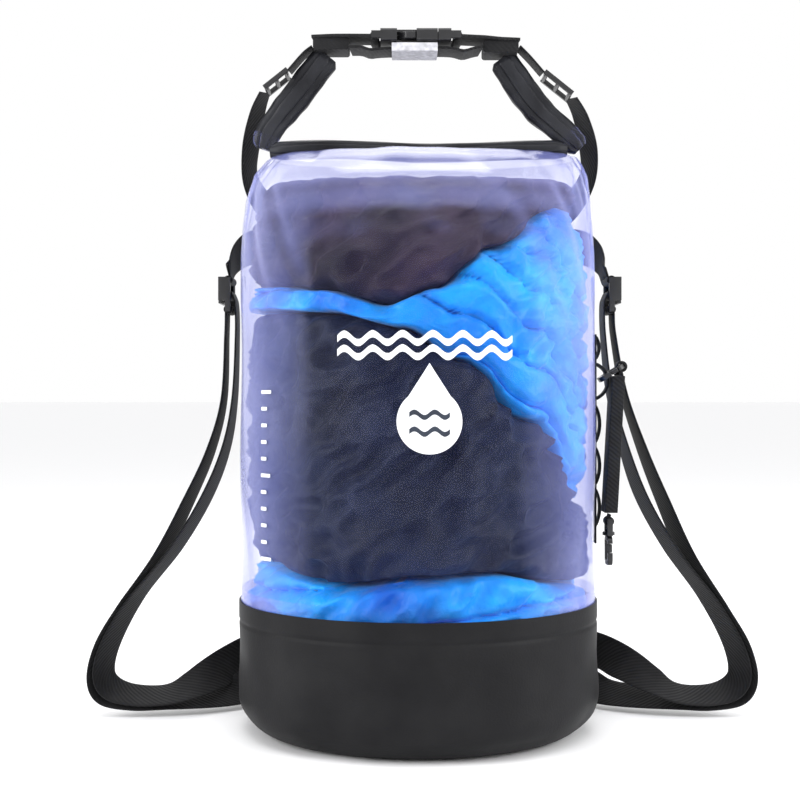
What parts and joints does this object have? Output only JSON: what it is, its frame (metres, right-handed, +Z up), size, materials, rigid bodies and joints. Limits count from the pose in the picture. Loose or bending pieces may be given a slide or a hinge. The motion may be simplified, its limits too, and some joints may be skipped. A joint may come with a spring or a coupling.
{
  "type": "roll-top dry bag",
  "caption": "Waterproof roll-top bag with clear film body, coated base, buckled roll closure that makes a carry loop, two shoulder straps and a clip-on strap.",
  "frame": {"origin": "centre of the flat base, on the ground", "axes": "+Z up along the bag, +Y towards the wearer's side (back), -Y is the front, +X is the right of the front view"},
  "size_m": [0.4609, 0.2388, 0.4643],
  "materials": {
    "clear_film": "frosted translucent blue-violet PVC film, 0.5 mm",
    "black_tarpaulin": "matte PVC-coated polyester",
    "collar_tarpaulin": "satin PVC-coated fabric",
    "stiff_plastic": "flexible polyethylene strip",
    "grey_elastic": "light grey woven elastic",
    "black_acetal": "moulded acetal, light satin",
    "black_webbing": "flat woven polyester webbing",
    "blue_nylon": "bright blue quilted nylon",
    "navy_fabric": "navy padded cloth",
    "grey_fabric": "grey-violet soft cloth"
  },
  "bodies": {
    "bag": {"window_film": "clear_film", "base_sidewall": "black_tarpaulin", "base_disc": "black_tarpaulin", "base_seam_tape": "black_tarpaulin", "film_weld_tape": "clear_film", "back_seam_tape": "clear_film", "roll_bar": "collar_tarpaulin", "roll_arm_left": "collar_tarpaulin", "roll_arm_right": "collar_tarpaulin", "roll_stiffener": "stiff_plastic", "tail_keeper": "grey_elastic", "buckle_female": "black_acetal", "triglide_left": "black_acetal", "triglide_right": "black_acetal", "upper_patch_left": "black_tarpaulin", "upper_patch_right": "black_tarpaulin", "lower_patch_left": "black_tarpaulin", "lower_patch_right": "black_tarpaulin", "upper_ring_left": "black_acetal", "upper_ring_right": "black_acetal", "lower_ring_left": "black_acetal", "lower_ring_right": "black_acetal", "packed_blue_low": "blue_nylon", "packed_blue": "blue_nylon", "packed_navy": "navy_fabric", "packed_grey": "grey_fabric", "end_web_left": "black_webbing", "tail_web_left": "black_webbing", "side_web_upper_left": "black_webbing", "side_web_upper_right": "black_webbing", "side_web_lower_left": "black_webbing", "side_web_lower_right": "black_webbing", "upper_tab_left": "black_webbing", "upper_tab_right": "black_webbing", "lower_tab_left": "black_webbing", "lower_tab_right": "black_webbing", "daisy_strip": "black_webbing", "daisy_loops": "black_webbing"},
    "clip": {"buckle_male": "black_acetal", "buckle_prongs": "black_acetal", "end_web_right": "black_webbing", "tail_web_right": "black_webbing"},
    "strap_left": {"shoulder_top_web_left": "black_webbing", "ladder_lock_left": "black_acetal", "shoulder_web_left": "black_webbing", "shoulder_tail_left": "black_webbing"},
    "strap_right": {"shoulder_top_web_right": "black_webbing", "ladder_lock_right": "black_acetal", "shoulder_web_right": "black_webbing", "shoulder_tail_right": "black_webbing"},
    "accessory": {"hook_body_top": "black_acetal", "accessory_strap": "black_webbing", "accessory_loops": "black_webbing", "hook_eye_bottom": "black_acetal"},
    "gate_top": {"hook_gate_top": "black_acetal"},
    "hook_low": {"hook_body_bottom": "black_acetal"},
    "gate_low": {"hook_gate_bottom": "black_acetal"}
  },
  "joints": [
    {"name": "buckle_release", "type": "slide", "parent": "bag", "child": "clip", "axis": [1, 0, 0], "range_m": [0, 0.028], "deforming": ["roll_arm_right", "side_web_upper_right", "buckle_prongs"]},
    {"name": "strap_swing_left", "type": "hinge", "parent": "bag", "child": "strap_left", "pos_m": [-0.092, 0.098, 0.038], "axis": [0, 0, -1], "range_deg": [0, 110]},
    {"name": "strap_swing_right", "type": "hinge", "parent": "bag", "child": "strap_right", "pos_m": [0.092, 0.098, 0.038], "axis": [0, 0, 1], "range_deg": [0, 110]},
    {"name": "accessory_swing", "type": "hinge", "parent": "bag", "child": "accessory", "pos_m": [0.1229, 0, 0.232], "axis": [0, -1, 0], "range_deg": [0, 30]},
    {"name": "hook_gate_top", "type": "hinge", "parent": "accessory", "child": "gate_top", "pos_m": [0.1324, -0.0069, 0.23794], "axis": [0.5299, 0, -0.848], "range_deg": [0, 25], "stiffness_Nm_per_rad": 0.002},
    {"name": "hook_swivel", "type": "hinge", "parent": "accessory", "child": "hook_low", "pos_m": [0.125, -0.022, 0.12], "axis": [0, 0, 1], "range_deg": [-35, 35]},
    {"name": "hook_gate_low", "type": "hinge", "parent": "hook_low", "child": "gate_low", "pos_m": [0.125, -0.0289, 0.1228], "axis": [1, 0, 0], "range_deg": [0, 25], "stiffness_Nm_per_rad": 0.002}
  ]
}
